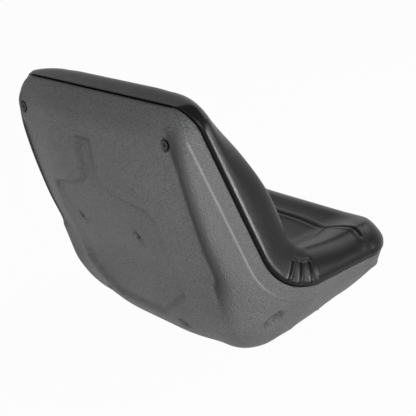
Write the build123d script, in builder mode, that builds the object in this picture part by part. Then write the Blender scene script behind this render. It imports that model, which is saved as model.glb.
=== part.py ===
from build123d import *
import os
from math import sin, cos, tan, radians, sqrt, pi

os.makedirs("parts", exist_ok=True)

# Rim line of the shell, seen from the side and in plan
rim_height = 125.0            # seat rim above the mounting plane
seat_rim = 325.5              # crease corner to front edge, along the rim
back_rim = 375.5              # crease corner to top edge, along the rim
recline = 26.6                # back rim from the vertical, degrees
crease_radius = 140.5         # bend between seat rim and back rim
half_front = 215.5            # half width of the rim at the front corners
half_hips = 240.0             # half width of the rim at the crease
half_top = 238.0              # half width of the rim at the top corners
front_corner = 83.5           # plan radius of the two front corners
top_corner = 40.5             # radius of the two top corners
crease_y = 150.0              # crease corner behind the middle of the mounting pattern

# Shell wall and its outer form
wall = 5.0                    # moulded wall
band_in = 15.0                # sloping rim band, inward
band_down = 19.0              # sloping rim band, outward from the rim
floor_gap = 3.4               # underside above the mounting plane
front_lip = 9.0               # edge depth at the front
top_lip = 5.0                 # edge depth at the top
crease_depth = 131.0          # greatest depth, behind the hips
low_back_depth = 109.0
mid_back_depth = 96.0
high_back_depth = 79.5
top_band_depth = 62.0         # depth where the top band begins
front_inset = 95.0            # belly side inside the rim, under the seat front
seat_inset = 63.0             # the same where the crease begins
crease_inset = 22.0           # the same at the crease
back_inset = 43.0             # the same on the back
top_inset = 28.0              # the same at the top band
corner_fullness = 0.91        # how square the belly corner is
dish = 9.0                    # hollow of the back face between its side corners

# Raised and sunk forms on the back of the shell
sink = 2.2                    # depth of the bottle-shaped panel
neck_half = 25.0
neck_top = 394.0              # heights above the mounting plane
neck_foot = 317.0
shoulder_half = 52.0
shoulder_z = 303.0
body_half = 124.0
body_top = 289.0
body_low = 150.0
foot_half = 70.0
foot_z = 82.0
panel_round = 11.0
clip_x = 80.0                 # two hooded clip slots on the bottle panel
clip_z = 219.0
clip_wide = 8.0
clip_long = 20.0
clip_lean = 30.0              # degrees from the vertical
hood_out = 6.0
pocket_top = (35.0, 298.0, 288.0)     # corners of the side pockets: inside the hips, Y, Z
pocket_low = (31.0, 248.0, 178.0)
pocket_in = (63.0, 294.0, 192.0)
pocket_top_cut = 3.0          # pocket depth at its top and at its low corner
pocket_low_cut = 7.0
slot_long = 24.0              # side slots low on the hips
slot_wide = 7.0
slot_y = 141.0
slot_z = 76.0
slot_lean = 26.0              # degrees from the horizontal

# Cushion screws in their recesses
screw_dia = 6.0
head_dia = 13.0
head_high = 4.4
screw_long = 26.0
drive_wide = 2.2              # cross slots in the head
drive_deep = 2.0
recess_dia = 21.0
cup_wall = 4.0
screw_clear = 0.25            # around the screw in the shell
upper_screw_in = 38.0         # inside the rim at the top of the back
upper_screw_down = 51.8       # below the top edge
upper_recess = 8.1            # depth of the upper recesses
lower_screw_x = 104.0
lower_screw_y = 240.0
lower_screw_z = 68.0
lower_screw_dip = 34.0        # screw axis below the horizontal, degrees
lower_recess = 40.0           # depth of the lower recesses

# Mounting rails with threaded inserts
bolt_across = 203.2           # bolt spacing across
bolt_along = 152.4            # bolt spacing fore and aft
rail_wide = 30.0
rail_front = 22.0             # rail beyond the front bolts
rail_back = 82.0              # rail beyond the rear bolts
insert_dia = 12.0
insert_long = 16.0
bolt_dia = 8.0
boss_wide = 24.0

# Cushion and the board that carries it
shadow_gap = 1.6              # open line between cushion and rim
overhang = 2.0                # cushion beyond the rim
roll = 32.0                   # edge to crest of the side roll
edge_high = 4.0               # cushion edge at its front and top ends
seat_roll = 44.0              # crest heights above the rim
crease_roll = 72.0
low_back_roll = 80.0
high_back_roll = 54.0
top_roll = 45.0
front_crown = 52.0            # middle heights above the rim
seat_crown = 31.0
crease_crown = 32.0
back_crown = 47.0
plug = 7.0                    # cushion underside below the rim
board = 4.0                   # backing board thickness
board_clear = 1.5             # board inside the shell wall
post_dia = 19.0
seam_wide = 3.0
seam_deep = 2.6
seam_half_front = 108.0       # sewn seat panel
seam_half_back = 158.0
seam_front_y = -92.0
seam_back_y = 52.0
mitre_x = 170.0
mitre_y = -126.0
pleat_wide = 4.0              # three pleats on each hip
pleat_step = 17.0
pleat_y = 70.0

# Derived lengths of the rim line
lean = radians(recline)
bend = pi / 2 - lean
tangent = crease_radius * tan(bend / 2)
seat_run = seat_rim - tangent
arc_run = crease_radius * bend
back_run = back_rim - tangent
total = seat_run + arc_run + back_run
seat_depth = rim_height - floor_gap


# Point on the rim line and the outward direction there
def rim_point(s):
    if s <= seat_run:
        return crease_y - seat_rim + s, rim_height, 0.0, -1.0
    if s < seat_run + arc_run:
        a = (s - seat_run) / crease_radius
        y = crease_y - tangent + crease_radius * sin(a)
        z = rim_height + crease_radius * (1 - cos(a))
        return y, z, sin(a), -cos(a)
    t = tangent + s - seat_run - arc_run
    return crease_y + t * sin(lean), rim_height + t * cos(lean), cos(lean), -sin(lean)


# Sketch plane across the rim line, its second axis rising from the rim
def rim_plane(s):
    y, z, ny, nz = rim_point(s)
    return Plane(origin=(0, y, z), x_dir=(1, 0, 0), z_dir=(0, nz, -ny))


# Half width of the rim outline drawn in by an offset
def half_width(s, off):
    end = total - top_corner
    if s < seat_run:
        k = min(max((s - front_corner) / (seat_run - front_corner), 0), 1)
        w = half_front + (half_hips - half_front) * k
    else:
        k = min(max((s - seat_run - arc_run) / (end - seat_run - arc_run), 0), 1)
        w = half_hips + (half_top - half_hips) * k
    rf = front_corner - off
    rt = top_corner - off
    ef = min(max(front_corner - s, 0), rf)
    et = min(max(s - end, 0), rt)
    return w - off - (rf - sqrt(rf * rf - ef * ef)) - (rt - sqrt(rt * rt - et * et))


# Places along the rim line of all sections, from front edge to top edge
def section_places(off):
    rf = front_corner - off
    rt = top_corner - off
    end = total - top_corner
    fan = seat_run + arc_run
    front = [front_corner - rf * cos(radians(a)) for a in (0, 25, 45, 65, 90)]
    seat = [front_corner + (seat_run - front_corner) * k for k in (0.5, 1.0)]
    bend_round = [seat_run + arc_run * k for k in (0.25, 0.5, 0.75, 1.0)]
    back = [fan + (end - fan) * k for k in (0.3, 0.6, 0.85, 1.0)]
    top = [end + rt * cos(radians(a)) for a in (65, 45, 25, 0)]
    return front + seat + bend_round + back + top


front_depth = [front_lip, 0.23 * seat_depth, 0.62 * seat_depth, 0.94 * seat_depth]
shell_depth = front_depth + [0.985 * seat_depth, seat_depth, seat_depth]
shell_depth += [0.99 * crease_depth, crease_depth, 0.94 * crease_depth, 0.88 * crease_depth]
shell_depth += [low_back_depth, mid_back_depth, high_back_depth, top_band_depth]
shell_depth += [0.84 * top_band_depth, 0.53 * top_band_depth, 0.25 * top_band_depth, top_lip]
shell_inset = [0.44 * front_inset, 0.56 * front_inset, 0.79 * front_inset, front_inset, front_inset]
shell_inset += [(front_inset + seat_inset) / 2, seat_inset, (seat_inset + crease_inset) / 2]
shell_inset += [crease_inset, (crease_inset + back_inset) / 2, back_inset, back_inset]
shell_inset += [0.94 * back_inset, 0.8 * back_inset, top_inset]
shell_inset += [0.87 * top_inset, 0.78 * top_inset, 0.7 * top_inset, 0.66 * top_inset]
shell_dish = [0] * 9 + [0.3 * dish, 0.7 * dish, dish, dish, 0.6 * dish, 0.2 * dish, 0, 0, 0, 0]


# One section of the shell form, drawn in by off and raised above the rim by up
def shell_section(s, i, off, up):
    w = half_width(s, off)
    d = shell_depth[i] - off * (0.8 if i in (0, 18) else 1.0)
    b = min(band_down, 0.6 * d)
    a = band_in * b / band_down
    wb = w - shell_inset[i]
    px, py = w - a, -b
    cx, cy = px + (wb - px) * corner_fullness, py + (-d - py) * corner_fullness
    ex, fx, fy = 0.7 * wb, 0.42 * wb, -d + shell_dish[i]
    right = [Bezier((px, py), (cx, cy), (0.9 * wb, -d), (ex, -d))]
    right.append(Bezier((ex, -d), (0.58 * wb, -d), (0.52 * wb, fy), (fx, fy)))
    left = [Bezier((-fx, fy), (-0.52 * wb, fy), (-0.58 * wb, -d), (-ex, -d))]
    left.append(Bezier((-ex, -d), (-0.9 * wb, -d), (-cx, cy), (-px, py)))
    k = -0.2 * b if up > 0 else 0.0
    edges = [Line((w, k), (px, py))] + right + [Line((fx, fy), (-fx, fy))] + left
    edges.append(Line((-px, py), (-w, k)))
    if up > 0:
        edges += [Line((-w, k), (-w, up)), Line((-w, up), (w, up)), Line((w, up), (w, k))]
    else:
        edges.append(Line((-w, 0), (w, 0)))
    return edges


# Full outer form of the shell
with BuildPart() as shell_form:
    for i, s in enumerate(section_places(0)):
        outline = shell_section(s, i, 0, 0)
        with BuildSketch(rim_plane(s)):
            make_face(outline)
    loft()

# Hollow of the shell, open above the rim
with BuildPart() as shell_hollow:
    for i, s in enumerate(section_places(wall)):
        outline = shell_section(s, i, wall, 6.0)
        with BuildSketch(rim_plane(s)):
            make_face(outline)
    loft(ruled=True)

# Bottle-shaped panel, sunk evenly below the back face
back_view = Plane(origin=(0, 190, 0), x_dir=(-1, 0, 0), z_dir=(0, 1, 0))
with BuildPart() as panel_floor:
    for i, s in enumerate(section_places(sink)):
        outline = shell_section(s, i, sink, 0)
        with BuildSketch(rim_plane(s)):
            make_face(outline)
    loft()
with BuildPart() as panel_cut:
    half = [(neck_half, neck_top), (neck_half, neck_foot), (shoulder_half, shoulder_z)]
    half += [(body_half, body_top), (body_half, body_low), (foot_half, foot_z)]
    mirrored = [(-x, z) for x, z in reversed(half)]
    with BuildSketch(back_view) as bottle:
        Polygon(*(half + mirrored), align=None)
        fillet(bottle.vertices(), panel_round)
    extrude(amount=220)
    add(panel_floor, mode=Mode.SUBTRACT)

# Recess axes of the four cushion screws, pointing out of the shell
dip = radians(lower_screw_dip)
seat_dy = lower_recess * cos(dip)
seat_dz = lower_recess * sin(dip)
upper_screw_x = half_top - upper_screw_in
upper_screw_z = rim_height + back_rim * cos(lean) - upper_screw_down
upper_face = crease_y + (upper_screw_z - rim_height) * tan(lean) + 0.72 * top_band_depth / cos(lean)
upper_seat_y = upper_face - upper_recess
upper_seats = [Plane(origin=(k * upper_screw_x, upper_seat_y, upper_screw_z), x_dir=(-1, 0, 0),
                     z_dir=(0, 1, 0)) for k in (-1, 1)]
lower_seats = [Plane(origin=(k * lower_screw_x, lower_screw_y - seat_dy, lower_screw_z + seat_dz),
                     x_dir=(-1, 0, 0), z_dir=(0, cos(dip), -sin(dip))) for k in (-1, 1)]
screw_seats = upper_seats + lower_seats


# Floor plane of a side pocket on one side
def pocket_plane(side):
    top = Vector(side * (half_hips - pocket_top[0]), pocket_top[1], pocket_top[2])
    low = Vector(side * (half_hips - pocket_low[0]), pocket_low[1], pocket_low[2])
    inner = Vector(side * (half_hips - pocket_in[0]), pocket_in[1], pocket_in[2])
    out = (low - inner).cross(top - inner).normalized() * side
    top = top - out * pocket_top_cut
    low = low - out * pocket_low_cut
    normal = (low - inner).cross(top - inner).normalized() * side
    return Plane(origin=inner, x_dir=(low - inner), z_dir=normal), top, low


# Material kept behind the recesses and pockets, inside the outer form
with BuildPart() as backing_up:
    for seat in screw_seats:
        with BuildSketch(seat.offset(-cup_wall)):
            Circle(recess_dia / 2 + cup_wall)
        extrude(amount=80)
    for side in (-1, 1):
        floor, top, low = pocket_plane(side)
        with BuildSketch(floor.offset(-wall)):
            a = floor.to_local_coords(top)
            b = floor.to_local_coords(low)
            Polygon((0, 0), (b.X, b.Y), (a.X, a.Y), align=None)
            offset(amount=wall)
        extrude(amount=30)
    add(shell_form, mode=Mode.INTERSECT)

# One-piece moulded shell with its recesses, pockets, slots and mounting rails
bolts = [(k * bolt_across / 2, m * bolt_along / 2) for k in (-1, 1) for m in (-1, 1)]
with BuildPart() as rails:
    with BuildSketch(Plane.XY):
        with Locations(*[(k * bolt_across / 2, (rail_back - rail_front) / 2) for k in (-1, 1)]):
            RectangleRounded(rail_wide, bolt_along + rail_back + rail_front, rail_wide / 5)
    extrude(amount=5 * floor_gap)
    with BuildSketch(Plane.XY):
        with Locations(*bolts):
            Circle(boss_wide / 2)
    extrude(amount=insert_long + wall)

with BuildPart() as seat_shell:
    add(shell_form)
    add(shell_hollow, mode=Mode.SUBTRACT)
    add(backing_up)
    add(panel_cut, mode=Mode.SUBTRACT)
    for seat in screw_seats:
        with BuildSketch(seat):
            Circle(recess_dia / 2)
        extrude(amount=80, mode=Mode.SUBTRACT)
        with BuildSketch(seat.offset(-2 * cup_wall)):
            Circle(screw_dia / 2 + screw_clear)
        extrude(amount=4 * cup_wall, mode=Mode.SUBTRACT)
    for side in (-1, 1):
        floor, top, low = pocket_plane(side)
        with BuildSketch(floor):
            a = floor.to_local_coords(top)
            b = floor.to_local_coords(low)
            Polygon((0, 0), (b.X, b.Y), (a.X, a.Y), align=None)
        extrude(amount=40, mode=Mode.SUBTRACT)
    add(rails)
    with BuildSketch(Plane.XY):
        with Locations(*bolts):
            Circle(insert_dia / 2)
    extrude(amount=insert_long, mode=Mode.SUBTRACT)
    for side in (-1, 1):
        side_view = Plane(origin=(side * half_hips, slot_y, slot_z), x_dir=(0, side, 0), z_dir=(side, 0, 0))
        with BuildSketch(side_view):
            SlotOverall(slot_long, slot_wide, rotation=side * slot_lean)
        extrude(amount=-2 * band_in - 4 * wall, mode=Mode.SUBTRACT)
        with BuildSketch(back_view):
            with Locations((side * clip_x, clip_z)):
                SlotOverall(clip_long, clip_wide, rotation=90 - clip_lean)
        extrude(amount=220, mode=Mode.SUBTRACT)
seat_shell.part.label = "seat_shell"
export_step(seat_shell.part, "parts/seat_shell.step")

# Four threaded inserts moulded into the rails
with BuildPart() as mount_inserts:
    with BuildSketch(Plane.XY):
        with Locations(*bolts):
            Circle(insert_dia / 2)
            Circle(bolt_dia / 2, mode=Mode.SUBTRACT)
    extrude(amount=insert_long)
mount_inserts.part.label = "mount_inserts"
export_step(mount_inserts.part, "parts/mount_inserts.step")

# Four screws that pull the cushion into the shell
with BuildPart() as cushion_screws:
    for seat in screw_seats:
        with BuildSketch(seat):
            Circle(head_dia / 2)
        extrude(amount=head_high)
        with BuildSketch(seat):
            Circle(screw_dia / 2)
        extrude(amount=-screw_long)
        with BuildSketch(seat.offset(head_high - drive_deep)):
            Rectangle(0.62 * head_dia, drive_wide)
            Rectangle(drive_wide, 0.62 * head_dia)
        extrude(amount=2 * drive_deep, mode=Mode.SUBTRACT)
cushion_screws.part.label = "cushion_screws"
export_step(cushion_screws.part, "parts/cushion_screws.step")

# Heights of the cushion above the rim at the stations, crest of the side roll and middle
crest = [0, 0.5 * seat_roll, 0.8 * seat_roll, 0.95 * seat_roll, seat_roll, seat_roll]
crest += [0.6 * seat_roll + 0.4 * crease_roll, 0.25 * seat_roll + 0.75 * crease_roll, crease_roll]
crest += [(crease_roll + low_back_roll) / 2, low_back_roll, low_back_roll]
crest += [(low_back_roll + high_back_roll) / 2, high_back_roll, top_roll]
crest += [0.9 * top_roll, 0.7 * top_roll, 0.45 * top_roll, 0]
middle = [0, 0.62 * front_crown, 0.92 * front_crown, front_crown, (front_crown + seat_crown) / 2]
middle += [seat_crown, seat_crown, seat_crown, crease_crown, 0.7 * crease_crown + 0.3 * back_crown]
middle += [0.4 * crease_crown + 0.6 * back_crown, back_crown, back_crown, back_crown, back_crown]
middle += [0.9 * back_crown, 0.72 * back_crown, 0.46 * back_crown, 0]


# Edges of one crowned cushion section, lowered by a given depth
def cushion_section(s, i, low):
    w = half_width(s, -overhang) - low
    hb = max(crest[i], edge_high) - low
    hc = max(middle[i], edge_high) - low
    r = roll if w > 3 * roll else w / 3
    qx = 0.46 * w
    right = [Bezier((w, shadow_gap), (w + 2, 0.6 * hb), (w - 0.3 * r, hb), (w - r, hb))]
    right.append(Bezier((w - r, hb), (w - 1.7 * r, hb), (qx + 0.8 * r, hc), (qx, hc)))
    left = [Bezier((-qx, hc), (-qx - 0.8 * r, hc), (-w + 1.7 * r, hb), (-w + r, hb))]
    left.append(Bezier((-w + r, hb), (-w + 0.3 * r, hb), (-w - 2, 0.6 * hb), (-w, shadow_gap)))
    return right + [Line((qx, hc), (-qx, hc))] + left + [Line((-w, shadow_gap), (w, shadow_gap))]


# Edges of a flat section between two heights, a given distance inside the rim
def slab_section(s, off, low, high):
    w = half_width(s, off) - band_in * max(0.0, -low) / band_down
    edges = [Line((-w, low), (w, low)), Line((w, low), (w, high))]
    return edges + [Line((w, high), (-w, high)), Line((-w, high), (-w, low))]


# Backing board under the cushion with posts for the screws
board_fit = wall + board_clear + front_lip / 2
post_long = 3 * lower_recess
with BuildPart() as board_form:
    for s in section_places(board_fit):
        outline = slab_section(s, board_fit, -plug - board, -plug)
        with BuildSketch(rim_plane(s)):
            make_face(outline)
    loft(ruled=True)
with BuildPart() as above_board:
    for s in section_places(board_fit):
        outline = slab_section(s, board_fit, -plug, post_long)
        with BuildSketch(rim_plane(s)):
            make_face(outline)
    loft(ruled=True)
with BuildPart() as cushion_backing:
    for seat in screw_seats:
        with BuildSketch(seat.offset(-cup_wall)):
            Circle(post_dia / 2)
        extrude(amount=-post_long)
    add(above_board, mode=Mode.SUBTRACT)
    add(board_form)
    add(seat_shell, mode=Mode.SUBTRACT)
    add(cushion_screws, mode=Mode.SUBTRACT)
cushion_backing.part.label = "cushion_backing"
export_step(cushion_backing.part, "parts/cushion_backing.step")

# Grooves of the sewn seat panel and of the hip pleats, down to a lowered cushion form
with BuildPart() as cushion_low:
    for i, s in enumerate(section_places(-overhang)):
        outline = cushion_section(s, i, seam_deep)
        with BuildSketch(rim_plane(s)):
            make_face(outline)
    loft()
with BuildPart() as seam_cut:
    with BuildSketch(Plane.XY.offset(rim_height + edge_high)):
        with BuildLine():
            Polyline((-mitre_x, mitre_y), (-seam_half_front, seam_front_y), (-seam_half_back, seam_back_y))
            offset(amount=seam_wide / 2)
        make_face()
        with BuildLine():
            Polyline((mitre_x, mitre_y), (seam_half_front, seam_front_y), (seam_half_back, seam_back_y))
            offset(amount=seam_wide / 2)
        make_face()
        with Locations((0, seam_front_y)):
            Rectangle(2 * seam_half_front, seam_wide)
    extrude(amount=2 * front_crown)
    for k in (-1, 0, 1):
        s = pleat_y - rim_point(0)[0] + k * pleat_step
        w = half_width(s, -overhang)
        with BuildSketch(rim_plane(s).offset(-pleat_wide / 2)):
            with Locations((-w, seat_roll / 2), (w, seat_roll / 2)):
                Rectangle(roll, 0.7 * seat_roll)
        extrude(amount=pleat_wide)
    add(cushion_low, mode=Mode.SUBTRACT)

# Upholstered cushion, its skirt plugged into the shell down to the board
with BuildPart() as cushion:
    for i, s in enumerate(section_places(-overhang)):
        outline = cushion_section(s, i, 0)
        with BuildSketch(rim_plane(s)):
            make_face(outline)
    loft()
    add(seam_cut, mode=Mode.SUBTRACT)
with BuildPart() as skirt:
    for s in section_places(board_fit):
        outline = slab_section(s, board_fit, -plug, edge_high - 1)
        with BuildSketch(rim_plane(s)):
            make_face(outline)
    loft(ruled=True)
with cushion:
    add(skirt)
cushion.part.label = "cushion"
export_step(cushion.part, "parts/cushion.step")
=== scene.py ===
import bpy
import numpy as np
from mathutils import Matrix
from mathutils.geometry import tessellate_polygon


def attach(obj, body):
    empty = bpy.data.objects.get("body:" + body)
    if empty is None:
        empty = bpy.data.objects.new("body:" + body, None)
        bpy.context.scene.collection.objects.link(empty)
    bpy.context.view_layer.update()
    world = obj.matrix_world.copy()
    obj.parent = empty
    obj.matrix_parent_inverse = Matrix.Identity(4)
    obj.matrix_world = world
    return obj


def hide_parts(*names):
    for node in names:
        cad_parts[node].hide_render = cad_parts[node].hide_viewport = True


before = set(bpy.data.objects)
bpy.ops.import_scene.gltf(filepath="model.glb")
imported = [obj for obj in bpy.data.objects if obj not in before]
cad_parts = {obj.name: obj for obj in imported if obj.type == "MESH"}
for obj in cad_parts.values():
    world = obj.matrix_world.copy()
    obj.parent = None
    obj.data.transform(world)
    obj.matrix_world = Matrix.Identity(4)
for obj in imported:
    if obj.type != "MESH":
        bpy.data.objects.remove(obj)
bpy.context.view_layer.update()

# Seat shell: the one-piece pan under the cushion, blow-moulded or injection-moulded in a
# pebble-grained dark grey plastic. Its open rim runs level round the seat, bends through the
# crease and climbs the reclined back; the cushion is screwed to it from behind.
MM = 0.001
FRONT_Y, RIM_Z = -175.5, 125.0
SEAT_RUN, CREASE_R, BEND, BACK_RUN = 238.73, 140.5, np.radians(63.4), 288.73
ARC_RUN = CREASE_R * BEND
RIM_RUN = SEAT_RUN + ARC_RUN + BACK_RUN
HALF_FRONT, HALF_HIPS, HALF_TOP = 215.5, 240.0, 238.0
FRONT_CORNER, TOP_CORNER = 83.5, 40.5
BAND_DOWN = 24.0
SHELL_WALL = 4.2
FULLNESS = 0.92
BEAD = 1.4

# One value per station from the front edge to the top edge
STATION_TURN = (0, 25, 45, 65, 90)
SHELL_DEPTH = (9, 28, 75, 114.4, 120, 121.9, 121.9, 128, 127.5, 111,
               88, 80.5, 69.5, 56, 43, 35, 24, 13, 5)
SHELL_INSET = (42, 53, 75, 97, 98, 83, 68, 46, 24, 14, 8, 7, 7, 8, 11, 14, 17, 18, 18.5)
SHELL_RISE = (0, 0, 0, 0, 0, 0, 0.5, 4, 8.5, 14, 19.5, 23, 23, 20, 17, 14, 8, 2.5, 0)
SHELF = (0.7, 0.7, 0.7, 0.7, 0.7, 0.7, 0.7, 0.7, 0.72, 0.79,
         0.86, 0.88, 0.88, 0.87, 0.85, 0.83, 0.8, 0.78, 0.78)
BAND_SLOPE = (0.79, 0.79, 0.5, 0.3, 0.23, 0.23, 0.23, 0.23, 0.23, 0.23,
              0.23, 0.23, 0.23, 0.23, 0.25, 0.35, 0.5, 0.7, 0.79)
FRAME_STEP = (0, 0, 0, 0, 0, 0, 0, 0, 0, 6, 6.5, 6, 6, 5, 3, 0, 0, 0, 0)


def smooth(low, high, x):
    """Smooth step: 0 below low, 1 above high, a cubic S between."""
    t = np.clip((x - low) / (high - low), 0, 1)
    return t * t * (3 - 2 * t)


def along(values, q):
    """Curve through one value per station: cubic Hermite pieces with central-difference slopes."""
    v = np.asarray(values, float)
    m = np.gradient(v)
    i = np.clip(q.astype(int), 0, len(v) - 2)
    u = q - i
    a, b = v[i], v[i + 1]
    return (a * (1 - u) ** 2 * (1 + 2 * u) + b * u * u * (3 - 2 * u)
            + m[i] * u * (1 - u) ** 2 - m[i + 1] * u * u * (1 - u))


def rim_line(s):
    """Rim line in the Y-Z plane: level run, then an arc, then the straight reclined run.
    Gives the points and the outward directions there."""
    turn = np.clip((s - SEAT_RUN) / CREASE_R, 0, BEND)
    past = np.maximum(s - SEAT_RUN - ARC_RUN, 0)
    y = FRONT_Y + np.minimum(s, SEAT_RUN) + CREASE_R * np.sin(turn) + past * np.cos(BEND)
    z = RIM_Z + CREASE_R * (1 - np.cos(turn)) + past * np.sin(BEND)
    return y, z, np.sin(turn), -np.cos(turn)


def half_width(s, grow):
    """Half width of the rim outline grown by a margin: straight tapers with round corners."""
    end = RIM_RUN - TOP_CORNER
    seat = np.clip((s - FRONT_CORNER) / (SEAT_RUN - FRONT_CORNER), 0, 1)
    back = np.clip((s - SEAT_RUN - ARC_RUN) / (end - SEAT_RUN - ARC_RUN), 0, 1)
    w = HALF_FRONT + (HALF_HIPS - HALF_FRONT) * seat + (HALF_TOP - HALF_HIPS) * back
    rf, rt = FRONT_CORNER + grow, TOP_CORNER + grow
    ef = np.clip(FRONT_CORNER - s, 0, rf)
    et = np.clip(s - end, 0, rt)
    return w + grow - (rf - np.sqrt(rf * rf - ef * ef)) - (rt - np.sqrt(rt * rt - et * et))


def station_places(grow):
    """Places of the stations along the rim line of an outline grown by a margin."""
    end = RIM_RUN - TOP_CORNER
    fan = SEAT_RUN + ARC_RUN
    turn = np.radians(STATION_TURN)
    front = FRONT_CORNER - (FRONT_CORNER + grow) * np.cos(turn)
    seat = FRONT_CORNER + (SEAT_RUN - FRONT_CORNER) * np.array([0.5, 1.0])
    bend = SEAT_RUN + ARC_RUN * np.array([0.25, 0.5, 0.75, 1.0])
    back = fan + (end - fan) * np.array([0.3, 0.6, 0.85, 1.0])
    top = end + (TOP_CORNER + grow) * np.cos(turn[3::-1])
    return np.concatenate([front, seat, bend, back, top])


def rows_between(counts):
    """Station parameters, evenly spaced inside each span between neighbouring stations."""
    spans = [i + np.arange(n) / n for i, n in enumerate(counts)]
    return np.append(np.concatenate(spans), len(counts))


def bezier(p0, p1, p2, p3, t):
    """Cubic Bezier curve for whole columns of control points."""
    return (p0 * (1 - t) ** 3 + 3 * p1 * t * (1 - t) ** 2 + 3 * p2 * t * t * (1 - t) + p3 * t ** 3)


def shell_grid():
    """Outer skin: across every rim station a half profile (flange band, upright side, square corner,
    floor rising to the middle) is mirrored. Inside the side corners the back floor drops by a step,
    a thin bead follows the flange edge, and the last rows fold back to the rim as front and top lips.
    Gives the points, a painted-shade mask that darkens the smooth strip between bead and corner, and a
    mask of the bead, which also carries a painted highlight."""
    q = rows_between((5, 5, 5, 6, 8, 9, 9, 12, 12, 12, 30, 26, 26, 22, 12, 9, 8, 7))
    s = np.clip(along(station_places(0), q), 0, RIM_RUN)[:, None]
    d = along(SHELL_DEPTH, q)[:, None]
    w = half_width(s, 0)
    wb = w - along(SHELL_INSET, q)[:, None]
    b = np.minimum(BAND_DOWN, 0.6 * d)
    px, py = w - along(BAND_SLOPE, q)[:, None] * b, b
    ex, fx = along(SHELF, q)[:, None] * wb, 0.25 * wb
    cx, cy = px + (wb - px) * FULLNESS, py + (d - py) * FULLNESS
    rise = along(SHELL_RISE, q)[:, None]
    t = 1 - (1 - np.linspace(0, 1, 9)[None, :-1]) ** 1.6
    x, n = [w + (px - w) * t], [py * t]
    t = np.linspace(0, 1, 47)[None, :-1] ** 1.25
    x.append(bezier(px, cx, ex + 0.667 * (wb - ex), ex, t))
    n.append(bezier(py, cy, d, d, t))
    t = np.linspace(0, 1, 43)[None, :-1]
    x.append(bezier(ex, ex - 0.35 * (ex - fx), fx + 0.45 * (ex - fx), fx, t))
    n.append(bezier(d, d + 0.25 * rise, d + rise, d + rise, t))
    t = np.linspace(0, 1, 8)[None, :]
    x.append(fx * (1 - t))
    n.append(d + rise + 0 * t)
    x, n = np.concatenate(x, 1), np.concatenate(n, 1)
    x = np.concatenate([x, -x[:, -2::-1]], 1)
    n = np.concatenate([n, n[:, -2::-1]], 1)
    x[:, 1:-1] = (x[:, :-2] + 2 * x[:, 1:-1] + x[:, 2:]) / 4
    n[:, 1:-1] = (n[:, :-2] + 2 * n[:, 1:-1] + n[:, 2:]) / 4
    corner = 0.965 * wb
    step = along(FRAME_STEP, q)[:, None] * smooth(401, 415, s) * (1 - smooth(600, 640, s))
    # Painted shade: the strip between the bead and the corner is darkened in colour, more towards the
    # corner, in place of the shade it falls into.
    painted_shade = smooth(b, b + 5, n) * smooth(corner - 13, corner - 5, abs(x))
    painted_shade = painted_shade * (0.2 + 0.8 * np.clip((n - b) / (d - b), 0, 1) ** 1.2)
    painted_shade = painted_shade * smooth(330, 410, s) * (1 - smooth(655, 674, s))
    n = n - step * smooth(corner + 1, corner - 6, abs(x)) * (1 - smooth(corner - 10, corner - 52, abs(x)))
    edge = np.exp(-((n - b) / 1.6) ** 2) * (abs(x) > corner - 4)
    x = x + np.sign(x) * BEAD * edge
    # From here the bead mask is a painted highlight: it lightens the colour along the bead.
    edge = edge * smooth(300, 380, s) * (1 - smooth(636, 652, s))
    lip = np.array([0.0, 0.55])[:, None]
    x = np.concatenate([x[:1], x[:1], x, x[-1:], x[-1:]])
    n = np.concatenate([n[:1] * lip, n, n[-1:] * lip[::-1]])
    s = np.concatenate([s[:1], s[:1], s, s[-1:], s[-1:]])
    painted_shade, edge = (np.concatenate([m[:1], m[:1], m, m[-1:], m[-1:]]) for m in (painted_shade, edge))
    y, z, ny, nz = rim_line(s)
    return np.stack([x, y + n * ny, z + n * nz], -1), painted_shade, edge


def grid_normals(p):
    """Unit normals of a grid of points, from the cross product of its two differences."""
    v = np.cross(np.gradient(p, axis=1), np.gradient(p, axis=0))
    return v / (np.linalg.norm(v, axis=-1, keepdims=True) + 1e-9)


def outline_distance(x, z, corners):
    """Signed distance to a closed outline: nearest edge, negative inside by the crossing count."""
    near = np.full(x.shape, 1e9)
    inside = np.zeros(x.shape, bool)
    for (ax, az), (bx, bz) in zip(corners, corners[1:] + corners[:1]):
        ex, ez = bx - ax, bz - az
        t = np.clip(((x - ax) * ex + (z - az) * ez) / (ex * ex + ez * ez), 0, 1)
        near = np.minimum(near, np.hypot(x - ax - t * ex, z - az - t * ez))
        crosses = (az > z) != (bz > z)
        inside ^= crosses & (x < ax + (z - az) / np.where(ez == 0, 1, ez) * ex)
    return np.where(inside, -near, near)


def well(p, dark, end_a, end_b, axis, radius, drop_a, drop_b, flat=None):
    """Round or long well cut along an axis: points inside the radius of the line between its ends
    move in by a depth that changes evenly from one end to the other (or onto a flat floor), and
    the two rings of points beside the edge are drawn onto the edge. The painted-shade mask is set
    to full inside, where the well is more than 2 mm deep, as painted shade in the hollow."""
    axis = np.asarray(axis, float) / np.linalg.norm(axis)
    a, b = np.asarray(end_a, float), np.asarray(end_b, float)
    ab = b - a
    ab = ab - axis * (ab @ axis)
    rel = p - a
    level = rel @ axis
    rel = rel - level[..., None] * axis
    t = np.clip(rel @ ab / max(ab @ ab, 1e-9), 0, 1)
    off = rel - t[..., None] * ab
    r = np.linalg.norm(off, axis=-1)
    near = (np.abs(level) < 60) & (r < radius + 2.6)
    inner = near & (r < radius)
    ring = np.where(inner, np.where(r > radius - 2.6, radius - 0.3, r), radius + 0.5)
    out = p + (off / (r[..., None] + 1e-9)) * np.where(near, ring - r, 0)[..., None]
    drop = drop_a + (drop_b - drop_a) * t if flat is None else level - flat
    return out - axis * np.where(inner, drop, 0)[..., None], np.where(inner & (drop > 2), 1.0, dark)


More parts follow.
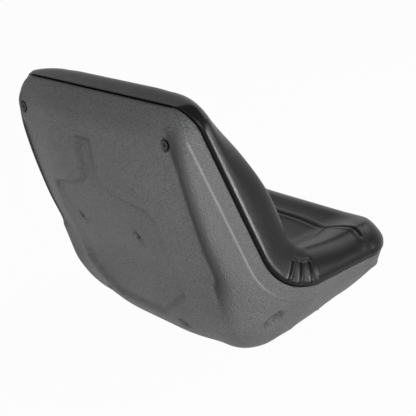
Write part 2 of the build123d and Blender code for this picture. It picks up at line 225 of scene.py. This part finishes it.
def mesh_piece(name, points, faces):
    """New object at the origin from points in millimetres and faces, shaded smooth."""
    mesh = bpy.data.meshes.new(name)
    mesh.from_pydata((points.reshape(-1, 3) * MM).tolist(), [], [list(f) for f in faces])
    mesh.polygons.foreach_set("use_smooth", np.ones(len(mesh.polygons), bool))
    piece = bpy.data.objects.new(name, mesh)
    bpy.context.collection.objects.link(piece)
    return piece


def grid_faces(rows, cols, wrap=False):
    """Quads of a grid of points, the columns joined into a loop where asked."""
    i = np.arange(rows * cols).reshape(rows, cols)
    if wrap:
        i = np.concatenate([i, i[:, :1]], 1)
    return np.stack([i[:-1, :-1], i[:-1, 1:], i[1:, 1:], i[1:, :-1]], -1).reshape(-1, 4)


# Bottle-shaped panel sunk into the back, seen along Y: half widths and heights, top to foot
PANEL_SINK, BACK_FROM_Y = 6.5, 190
PANEL_HALF = [(23, 391), (24, 318), (50, 306), (121, 292), (137, 284), (143, 268), (140, 131), (60, 71)]
UPPER_SCREW, UPPER_SEAT_Y = (200.0, 409.0), 334.0
LOWER_SCREW, LOWER_DIP, LOWER_RECESS = np.array([104.0, 240.0, 68.0]), np.radians(34), 40.0
RECESS_R = 10.5
SLOT_HIGH, SLOT_LOW, SLOT_R = (226.0, 137.0, 86.0), (224.0, 163.0, 78.0), 6.5
SLOT_DROP, CLIP_DROP = (30, 4), (9, -3)
CLIP_X, CLIP_Z, CLIP_R = 81.0, 229.0, 6.0
RAIL_X, RAIL_Y, RAIL_HALF, RAIL_HIGH, RAIL_ROUND = 101.6, (-76.0, 146.0), 10.5, 15.0, 10.5
BOLT_Y, INSERT_R = 76.2, 6.0

skin, painted_shade, edge = shell_grid()
normals = grid_normals(skin)
behind = skin[..., 1] > BACK_FROM_Y
bottle = PANEL_HALF + [(-x, z) for x, z in reversed(PANEL_HALF)]
dist = outline_distance(skin[..., 0], skin[..., 2], bottle)
soft_edge = 5 + 30 * smooth(290, 262, skin[..., 2]) * smooth(135, 165, skin[..., 2])
sunk = PANEL_SINK * smooth(0, 1, np.clip((3 - dist) / (3 + soft_edge), 0, 1)) * behind
skin = skin - normals * sunk[..., None]
# Painted shade just inside the sunk panel's outline, stronger at its top.
painted_inside_shade = np.exp(-((dist + 4) / 4.5) ** 2) * behind * (0.2 + 0.35 * smooth(262, 285, skin[..., 2]))
painted_shade = np.maximum(painted_shade, painted_inside_shade)
lower_axis = np.array([0, np.cos(LOWER_DIP), -np.sin(LOWER_DIP)])
for side in (-1, 1):
    mirror = np.array([side, 1, 1])
    upper = (side * UPPER_SCREW[0], UPPER_SEAT_Y, UPPER_SCREW[1])
    skin, painted_shade = well(skin, painted_shade, upper, upper, (0, 1, 0), RECESS_R, 0, 0, flat=0.0)
    lower = LOWER_SCREW * mirror
    skin, painted_shade = well(skin, painted_shade, lower, lower, lower_axis, RECESS_R, 0, 0, flat=-LOWER_RECESS)
    skin, painted_shade = well(skin, painted_shade, SLOT_HIGH * mirror, SLOT_LOW * mirror, (side, 0, -0.3), SLOT_R, *SLOT_DROP)
    clip_a, clip_b = (side * CLIP_X + 4, 300, CLIP_Z + 7), (side * CLIP_X - 4, 300, CLIP_Z - 7)
    skin, painted_shade = well(skin, painted_shade, clip_a, clip_b, (0, 1, 0), CLIP_R, *CLIP_DROP)


def rail_mesh(side, first):
    """One rail as an open box: a rounded outline pulled up from the floor, closed below by a face
    with two round holes whose walls run up beside the inserts. Indices start at first."""
    a = np.radians(np.arange(0, 360, 15))
    ring = np.stack([np.cos(a), np.sin(a)], -1)
    mid, half_long = (RAIL_Y[0] + RAIL_Y[1]) / 2, (RAIL_Y[1] - RAIL_Y[0]) / 2
    inset = np.array([RAIL_HALF - RAIL_ROUND, half_long - RAIL_ROUND])
    outline = ring * RAIL_ROUND + np.sign(np.round(ring, 6) + 1e-4) * inset + (side * RAIL_X, mid)
    holes = [ring * INSERT_R + (side * RAIL_X, y) for y in (-BOLT_Y, BOLT_Y)]
    loops = [outline] + holes
    flat = np.concatenate(loops)
    tops = np.concatenate([np.full(len(l), h) for l, h in zip(loops, (RAIL_HIGH, 10.0, 10.0))])
    points = np.concatenate([np.c_[flat, 0 * tops], np.c_[flat, tops]])
    below = tessellate_polygon([[(*v, 0) for v in l] for l in loops])
    faces = [tuple(first + i for i in reversed(f)) for f in below]
    start = 0
    for k, loop in enumerate(loops):
        i = start + np.arange(len(loop))
        j = start + np.roll(np.arange(len(loop)), -1)
        quads = np.stack([i, j, j + len(flat), i + len(flat)], -1) + first
        faces += [tuple(f) for f in (quads if k == 0 else quads[:, ::-1])]
        start += len(loop)
    return points, faces


points, faces = skin.reshape(-1, 3), [tuple(f) for f in grid_faces(*skin.shape[:2])]
for side in (-1, 1):
    rail_points, rail_faces = rail_mesh(side, len(points))
    points, faces = np.concatenate([points, rail_points]), faces + rail_faces
shell = mesh_piece("seat_shell_skin", points, faces)
# The painted-shade mask and the bead's painted-highlight mask go onto the shell's points for its material.
for name, values in (("painted_shade", painted_shade), ("edge", edge)):
    mask = shell.data.attributes.new(name, "FLOAT", "POINT")
    mask.data.foreach_set("value", np.append(values.ravel(), np.zeros(len(points) - values.size)))
solid = shell.modifiers.new("wall", "SOLIDIFY")
solid.thickness = SHELL_WALL * MM
solid.offset = -1
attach(shell, "root")
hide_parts("seat_shell")


def grain_group():
    """Moulded pebble grain: cell distance of a Voronoi pattern, roughened by noise, as a height
    and as a mask of the valleys."""
    group = bpy.data.node_groups.new("pebble_grain", "ShaderNodeTree")
    group.interface.new_socket("Vector", in_out="INPUT", socket_type="NodeSocketVector")
    group.interface.new_socket("Cell Scale", in_out="INPUT", socket_type="NodeSocketFloat")
    group.interface.new_socket("Height", in_out="OUTPUT", socket_type="NodeSocketFloat")
    group.interface.new_socket("Valley", in_out="OUTPUT", socket_type="NodeSocketFloat")
    nodes, links = group.nodes, group.links
    inp, out = nodes.new("NodeGroupInput"), nodes.new("NodeGroupOutput")
    noise = nodes.new("ShaderNodeTexNoise")
    noise.inputs["Detail"].default_value = 2.0
    cells = nodes.new("ShaderNodeTexVoronoi")
    cells.feature = "SMOOTH_F1"
    cells.inputs["Smoothness"].default_value = 0.35
    ramp = nodes.new("ShaderNodeMapRange")
    ramp.inputs["From Min"].default_value = 0.1
    ramp.inputs["From Max"].default_value = 0.75
    ramp.inputs["To Min"].default_value = 1.0
    ramp.inputs["To Max"].default_value = 0.0
    add = nodes.new("ShaderNodeMath")
    add.operation = "MULTIPLY_ADD"
    add.inputs[1].default_value = 0.6
    valley = nodes.new("ShaderNodeMath")
    valley.operation = "SUBTRACT"
    valley.inputs[0].default_value = 1.0
    for tex in (noise, cells):
        links.new(inp.outputs["Vector"], tex.inputs["Vector"])
        links.new(inp.outputs["Cell Scale"], tex.inputs["Scale"])
    links.new(cells.outputs["Distance"], ramp.inputs["Value"])
    links.new(noise.outputs["Fac"], add.inputs[0])
    links.new(ramp.outputs["Result"], add.inputs[2])
    links.new(ramp.outputs["Result"], valley.inputs[1])
    links.new(add.outputs["Value"], out.inputs["Height"])
    links.new(valley.outputs["Value"], out.inputs["Valley"])
    return group


GRAIN = grain_group()


def grained_plastic(name, dark, light, rough, shine, cell_scale, relief):
    """Grained plastic: two close greys by grain valley and slow noise, bump from the grain. Where the
    painted-shade mask is set the colour is painted darker and the bump held back; where the edge
    mask is set a painted highlight lightens the colour."""
    mat = bpy.data.materials.new(name)
    mat.use_nodes = True
    nodes, links = mat.node_tree.nodes, mat.node_tree.links
    bsdf = nodes["Principled BSDF"]
    bsdf.inputs["Specular IOR Level"].default_value = shine
    coords = nodes.new("ShaderNodeTexCoord")
    grain = nodes.new("ShaderNodeGroup")
    grain.node_tree = GRAIN
    grain.inputs["Cell Scale"].default_value = cell_scale
    slow = nodes.new("ShaderNodeTexNoise")
    slow.inputs["Scale"].default_value = 9.0
    slow.inputs["Detail"].default_value = 3.0
    mix = nodes.new("ShaderNodeMix")
    mix.data_type = "RGBA"
    mix.inputs["A"].default_value = (*light, 1)
    mix.inputs["B"].default_value = (*dark, 1)
    blend = nodes.new("ShaderNodeMath")
    blend.operation = "MULTIPLY_ADD"
    blend.inputs[1].default_value = 0.8
    rough_map = nodes.new("ShaderNodeMapRange")
    rough_map.inputs["To Min"].default_value = rough - 0.06
    rough_map.inputs["To Max"].default_value = rough + 0.08
    bump = nodes.new("ShaderNodeBump")
    bump.inputs["Strength"].default_value = 0.8
    bump.inputs["Distance"].default_value = relief
    half = nodes.new("ShaderNodeMath")
    half.operation = "MULTIPLY"
    half.inputs[1].default_value = 0.2
    # Painted shade: the shade mask pulls the colour towards near black.
    painted_shade = nodes.new("ShaderNodeAttribute")
    painted_shade.attribute_name = "painted_shade"
    shade = nodes.new("ShaderNodeMapRange")
    shade.inputs["To Min"].default_value = 0.0
    shade.inputs["To Max"].default_value = 0.96
    dim = nodes.new("ShaderNodeMix")
    dim.data_type = "RGBA"
    dim.inputs["B"].default_value = (0.01, 0.01, 0.01, 1)
    even = nodes.new("ShaderNodeMapRange")
    even.inputs["To Min"].default_value = 0.8
    even.inputs["To Max"].default_value = 0.15
    links.new(painted_shade.outputs["Fac"], shade.inputs["Value"])
    links.new(painted_shade.outputs["Fac"], even.inputs["Value"])
    links.new(shade.outputs["Result"], dim.inputs["Factor"])
    links.new(even.outputs["Result"], bump.inputs["Strength"])
    links.new(coords.outputs["Object"], grain.inputs["Vector"])
    links.new(coords.outputs["Object"], slow.inputs["Vector"])
    links.new(slow.outputs["Fac"], half.inputs[0])
    links.new(grain.outputs["Valley"], blend.inputs[0])
    links.new(half.outputs["Value"], blend.inputs[2])
    links.new(blend.outputs["Value"], mix.inputs["Factor"])
    links.new(mix.outputs["Result"], dim.inputs["A"])
    # Painted highlight: the edge mask pulls the colour towards a lighter grey.
    edge = nodes.new("ShaderNodeAttribute")
    edge.attribute_name = "edge"
    gleam = nodes.new("ShaderNodeMix")
    gleam.data_type = "RGBA"
    gleam.inputs["B"].default_value = (0.19, 0.19, 0.19, 1)
    links.new(edge.outputs["Fac"], gleam.inputs["Factor"])
    links.new(dim.outputs["Result"], gleam.inputs["A"])
    links.new(gleam.outputs["Result"], bsdf.inputs["Base Color"])
    links.new(grain.outputs["Valley"], rough_map.inputs["Value"])
    links.new(rough_map.outputs["Result"], bsdf.inputs["Roughness"])
    links.new(grain.outputs["Height"], bump.inputs["Height"])
    links.new(bump.outputs["Normal"], bsdf.inputs["Normal"])
    return mat


grey_plastic = grained_plastic("grey_grained_plastic", (0.036, 0.0365, 0.037), (0.128, 0.129, 0.131),
                               0.46, 0.17, 560.0, 0.0011)
shell.data.materials.append(grey_plastic)

# Backing board: a plain moulded board under the foam, hidden once the cushion is screwed down.
board_plastic = grained_plastic("black_board_plastic", (0.02, 0.02, 0.02), (0.04, 0.04, 0.04),
                                0.6, 0.3, 300.0, 0.0003)
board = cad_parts["cushion_backing"]
board.data.materials.clear()
board.data.materials.append(board_plastic)

# Cushion: black vinyl drawn tight over moulded foam, one piece for seat and back, with high
# side rolls, a sewn seat panel and three pleats where the skin folds round each hip.
OVERHANG, SHADOW_GAP = 2.0, 2.2
BULGE_HIGH, SADDLE_SHARE = 17, 0.46
CREST = (4, 29, 46, 53, 55, 53, 59, 65, 72, 76, 80, 80, 68, 54, 49, 47, 42, 30, 4)
MIDDLE = (4, 30, 45, 50, 43, 33, 31, 31, 32, 36, 41, 46, 50, 51, 51, 49, 44, 32, 4)
ROLL = (60, 56, 48, 38, 32, 32, 32, 32, 32, 32, 32, 32, 36, 48, 68, 78, 78, 78, 78)
SEAMS = [[(-135, -64), (-57, -74), (57, -74), (135, -64)]]
SEAMS += [[(k * 135, -64), (k * 162, 2), (k * 180, 56)] for k in (-1, 1)]
SEAMS += [[(k * 135, -64), (k * 165, -70), (k * 193, -74), (k * 206, -77)] for k in (-1, 1)]
SEAM_DEEP, SEAM_WIDE, PUFF, PUFF_WIDE = 2.2, 1.7, 1.1, 8.0
PLEATS, PLEAT_OUT, PLEAT_WIDE = (257, 287, 316.5), 3.4, 4.0
FOLD_HIGH, FOLD_DEEP, FOLD_WIDE = 45.0, 2.6, 2.4


def cushion_grid():
    """Closed loops across the rim line: tucked edge, bulging side roll, saddle, roll, edge and a flat
    underside, with the end loops pressed flat. Gives the points, rim places and heights."""
    q = rows_between((8, 8, 8, 10, 40, 34, 28, 20, 16, 14, 18, 18, 14, 12, 10, 10, 10, 10))
    s = np.clip(along(station_places(OVERHANG), q), -OVERHANG, RIM_RUN + OVERHANG)[:, None]
    w = half_width(s, OVERHANG)
    hb, hc = along(CREST, q)[:, None], along(MIDDLE, q)[:, None]
    r = np.minimum(along(ROLL, q)[:, None], w / 3)
    qx = SADDLE_SHARE * w
    low = np.minimum(BULGE_HIGH, 0.45 * hb)
    k = low / BULGE_HIGH
    t = np.linspace(0, 1, 17)[None, :-1]
    x = [bezier(w - 4 * k, w + 1.5 * k, w + 2.6 * k, w + k, t)]
    h = [bezier(SHADOW_GAP + 0 * hb, SHADOW_GAP + k, 0.5 * low, low, t)]
    t = np.linspace(0, 1, 29)[None, :-1]
    x.append(bezier(w + k, w - 2 * k, w - 0.55 * r, w - r, t))
    h.append(bezier(low, low + 0.36 * (hb - low), 0.985 * hb, hb, t))
    t = np.linspace(0, 1, 55)[None, :-1]
    x.append(bezier(w - r, w - r - 0.35 * (w - r - qx), qx + 0.35 * (w - r - qx), qx, t))
    h.append(bezier(hb, hb, hc, hc, t))
    t = np.linspace(0, 1, 17)[None, :]
    x.append(qx * (1 - t))
    h.append(hc + 0 * t)
    x, h = np.concatenate(x, 1), np.concatenate(h, 1)
    x = np.concatenate([x, -x[:, -2::-1]], 1)
    h = np.concatenate([h, h[:, -2::-1]], 1)
    under = np.linspace(-1, 1, 10)[None, 1:-1] * (w - 2.5)
    x = np.concatenate([x, under], 1)
    h = np.concatenate([h, SHADOW_GAP + 0 * under], 1)
    x = np.concatenate([x[:1], x, x[-1:]])
    h = np.concatenate([h[:1] * 0 + SHADOW_GAP, h, h[-1:] * 0 + SHADOW_GAP])
    s = np.concatenate([s[:1], s, s[-1:]])
    y, z, ny, nz = rim_line(s)
    return np.stack([x, y - h * ny, z - h * nz], -1), s + 0 * x, h


def line_distance(x, y, corners):
    """Distance in plan to an open chain of straight pieces."""
    near = np.full(x.shape, 1e9)
    for (ax, ay), (bx, by) in zip(corners, corners[1:]):
        ex, ey = bx - ax, by - ay
        t = np.clip(((x - ax) * ex + (y - ay) * ey) / (ex * ex + ey * ey), 0, 1)
        near = np.minimum(near, np.hypot(x - ax - t * ex, y - ay - t * ey))
    return near


pad, pad_s, pad_h = cushion_grid()
pad_out = -grid_normals(pad)
seat_top = (pad_s < 300) & (pad_h > 14)
seam = np.full(pad_s.shape, 1e9)
for corners in SEAMS:
    seam = np.minimum(seam, line_distance(pad[..., 0], pad[..., 1], corners))
puff = PUFF * np.exp(-((seam - PUFF_WIDE) / (0.7 * PUFF_WIDE)) ** 2)
lift = (puff - SEAM_DEEP * np.exp(-(seam / SEAM_WIDE) ** 2)) * seat_top
flank = smooth(5, 12, pad_h) * (1 - smooth(36, 48, pad_h)) * (abs(pad[..., 0]) > 205)
for place in PLEATS:
    lift = lift + PLEAT_OUT * np.exp(-((pad_s - place) / PLEAT_WIDE) ** 2) * flank
fold = np.exp(-((pad_h - FOLD_HIGH) / FOLD_WIDE) ** 2)
fold = fold * smooth(246, 256, pad_s) * (1 - smooth(316, 328, pad_s))
lift = lift - FOLD_DEEP * fold * (abs(pad[..., 0]) > 200)
pad = pad + pad_out * lift[..., None]
cushion = mesh_piece("cushion_pad", pad, grid_faces(*pad.shape[:2], wrap=True))
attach(cushion, "root")
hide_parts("cushion")
vinyl = grained_plastic("black_vinyl", (0.003, 0.003, 0.0034), (0.005, 0.005, 0.0054),
                        0.27, 0.08, 900.0, 0.0001)
cushion.data.materials.append(vinyl)


def worn_metal(name, dark, light, rough):
    """Plain machined metal: two close tones and an uneven roughness from one noise."""
    mat = bpy.data.materials.new(name)
    mat.use_nodes = True
    nodes, links = mat.node_tree.nodes, mat.node_tree.links
    bsdf = nodes["Principled BSDF"]
    bsdf.inputs["Metallic"].default_value = 1.0
    coords = nodes.new("ShaderNodeTexCoord")
    noise = nodes.new("ShaderNodeTexNoise")
    noise.inputs["Scale"].default_value = 260.0
    noise.inputs["Detail"].default_value = 3.0
    mix = nodes.new("ShaderNodeMix")
    mix.data_type = "RGBA"
    mix.inputs["A"].default_value = (*dark, 1)
    mix.inputs["B"].default_value = (*light, 1)
    rough_map = nodes.new("ShaderNodeMapRange")
    rough_map.inputs["To Min"].default_value = rough - 0.08
    rough_map.inputs["To Max"].default_value = rough + 0.12
    links.new(coords.outputs["Object"], noise.inputs["Vector"])
    links.new(noise.outputs["Fac"], mix.inputs["Factor"])
    links.new(noise.outputs["Fac"], rough_map.inputs["Value"])
    links.new(mix.outputs["Result"], bsdf.inputs["Base Color"])
    links.new(rough_map.outputs["Result"], bsdf.inputs["Roughness"])
    return mat


# Cushion screws: four black pan-head screws with cross slots, driven from behind through the
# shell's recesses into the backing board.
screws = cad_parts["cushion_screws"]
screws.data.materials.clear()
screws.data.materials.append(worn_metal("black_oxide_steel", (0.02, 0.02, 0.02), (0.06, 0.06, 0.06), 0.42))

# Mounting inserts: four brass threaded bushes moulded into the rails under the shell.
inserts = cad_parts["mount_inserts"]
inserts.data.materials.clear()
inserts.data.materials.append(worn_metal("turned_brass", (0.45, 0.3, 0.11), (0.58, 0.41, 0.17), 0.35))

# Studio: a pale floor under the rails, a white surround, soft lamps and the camera.
CAMERA_AT = (-1.38607, 1.22917, 0.78423)
CAMERA_RIGHT = (-0.64026931, -0.76741232, -0.03366811)
CAMERA_DOWN = (-0.2130937, 0.21955713, -0.95204293)
CAMERA_AHEAD = (0.73800155, -0.60238941, -0.30410642)
floor = mesh_piece("floor", np.array([[-9e3, -9e3, 0], [9e3, -9e3, 0], [9e3, 9e3, 0], [-9e3, 9e3, 0]]),
                   np.array([[0, 1, 2, 3]]))


def pale_floor():
    """Pale matt floor that shows as near white to the camera and in reflections, with its shadow."""
    mat = bpy.data.materials.new("pale_floor")
    mat.use_nodes = True
    nodes, links = mat.node_tree.nodes, mat.node_tree.links
    bsdf = nodes["Principled BSDF"]
    bsdf.inputs["Base Color"].default_value = (0.85, 0.85, 0.85, 1)
    bsdf.inputs["Roughness"].default_value = 0.9
    path = nodes.new("ShaderNodeLightPath")
    glow = nodes.new("ShaderNodeEmission")
    glow.inputs["Color"].default_value = (1, 1, 1, 1)
    seen = nodes.new("ShaderNodeMath")
    seen.operation = "ADD"
    shown = nodes.new("ShaderNodeMath")
    shown.operation = "ADD"
    shown.use_clamp = True
    part = nodes.new("ShaderNodeMath")
    part.operation = "MULTIPLY"
    part.inputs[1].default_value = 0.97
    mix = nodes.new("ShaderNodeMixShader")
    links.new(path.outputs["Is Camera Ray"], seen.inputs[0])
    links.new(path.outputs["Is Glossy Ray"], seen.inputs[1])
    links.new(seen.outputs["Value"], shown.inputs[0])
    links.new(path.outputs["Is Transmission Ray"], shown.inputs[1])
    links.new(shown.outputs["Value"], part.inputs[0])
    links.new(part.outputs["Value"], mix.inputs["Fac"])
    links.new(bsdf.outputs["BSDF"], mix.inputs[1])
    links.new(glow.outputs["Emission"], mix.inputs[2])
    links.new(mix.outputs["Shader"], nodes["Material Output"].inputs["Surface"])
    return mat


floor.data.materials.append(pale_floor())

world = bpy.data.worlds.new("studio")
world.use_nodes = True
bpy.context.scene.world = world
wn, wl = world.node_tree.nodes, world.node_tree.links
back = wn["Background"]
back.inputs["Color"].default_value = (1, 1, 1, 1)
path = wn.new("ShaderNodeLightPath")
sky = wn.new("ShaderNodeTexCoord")
axes = wn.new("ShaderNodeSeparateXYZ")
shade = wn.new("ShaderNodeMapRange")
shade.inputs["From Min"].default_value = 0.0
shade.inputs["From Max"].default_value = 0.6
shade.inputs["To Min"].default_value = 0.28
shade.inputs["To Max"].default_value = 0.04
level = wn.new("ShaderNodeMix")
level.inputs["B"].default_value = 1.0
wl.new(sky.outputs["Generated"], axes.inputs["Vector"])
wl.new(axes.outputs["Z"], shade.inputs["Value"])
wl.new(shade.outputs["Result"], level.inputs["A"])
seen = wn.new("ShaderNodeMath")
seen.operation = "ADD"
shown = wn.new("ShaderNodeMath")
shown.operation = "ADD"
shown.use_clamp = True
wl.new(path.outputs["Is Camera Ray"], seen.inputs[0])
wl.new(path.outputs["Is Glossy Ray"], seen.inputs[1])
wl.new(seen.outputs["Value"], shown.inputs[0])
wl.new(path.outputs["Is Transmission Ray"], shown.inputs[1])
wl.new(shown.outputs["Value"], level.inputs["Factor"])
wl.new(level.outputs["Result"], back.inputs["Strength"])


def soft_lamp(name, place, target, wide, high, power):
    """Rectangular area lamp at a place, turned to face a target."""
    lamp = bpy.data.lights.new(name, "AREA")
    lamp.shape = "RECTANGLE"
    lamp.size, lamp.size_y = wide, high
    lamp.energy = power
    obj = bpy.data.objects.new(name, lamp)
    ahead = np.array(target, float) - np.array(place, float)
    ahead /= np.linalg.norm(ahead)
    right = np.cross(ahead, (0, 0, 1))
    right /= np.linalg.norm(right)
    up = np.cross(right, ahead)
    m = np.eye(4)
    m[:3, 0], m[:3, 1], m[:3, 2], m[:3, 3] = right, up, -ahead, place
    obj.matrix_world = Matrix(m.tolist())
    bpy.context.collection.objects.link(obj)
    return obj


soft_lamp("broad_lamp", (-2.2, 1.7, 0.2), (0, 0.1, 0.25), 2.0, 0.4, 80)
soft_lamp("low_side_lamp", (-2.1, -1.7, 0.3), (0, 0.1, 0.25), 0.8, 0.35, 34)
soft_lamp("rear_lamp", (0.6, 2.5, 0.3), (0, 0.1, 0.25), 1.6, 0.5, 16)
soft_lamp("front_lamp", (-0.6, -2.2, 1.7), (0, 0.0, 0.2), 1.6, 0.8, 24)
# The strip lies on the floor and only gleams: it gives the thin streak along the cushion's
# low edge.
soft_lamp("floor_strip", (-0.83, -0.16, 0.03), (-0.54, -0.07, 1.03), 0.16, 0.6, 55)
bpy.data.objects["floor_strip"].visible_diffuse = False

FOCAL_PIXELS, PHOTO_PIXELS = 1050, 416
camera_data = bpy.data.cameras.new("photo_camera")
camera_data.sensor_width = 36.0
camera_data.lens = camera_data.sensor_width * FOCAL_PIXELS / PHOTO_PIXELS
camera_data.dof.use_dof = False
camera = bpy.data.objects.new("photo_camera", camera_data)
m = np.eye(4)
m[:3, 0], m[:3, 1] = CAMERA_RIGHT, -np.array(CAMERA_DOWN)
m[:3, 2], m[:3, 3] = -np.array(CAMERA_AHEAD), CAMERA_AT
camera.matrix_world = Matrix(m.tolist())
bpy.context.collection.objects.link(camera)
bpy.context.scene.camera = camera
bpy.context.scene.view_settings.view_transform = "Standard"
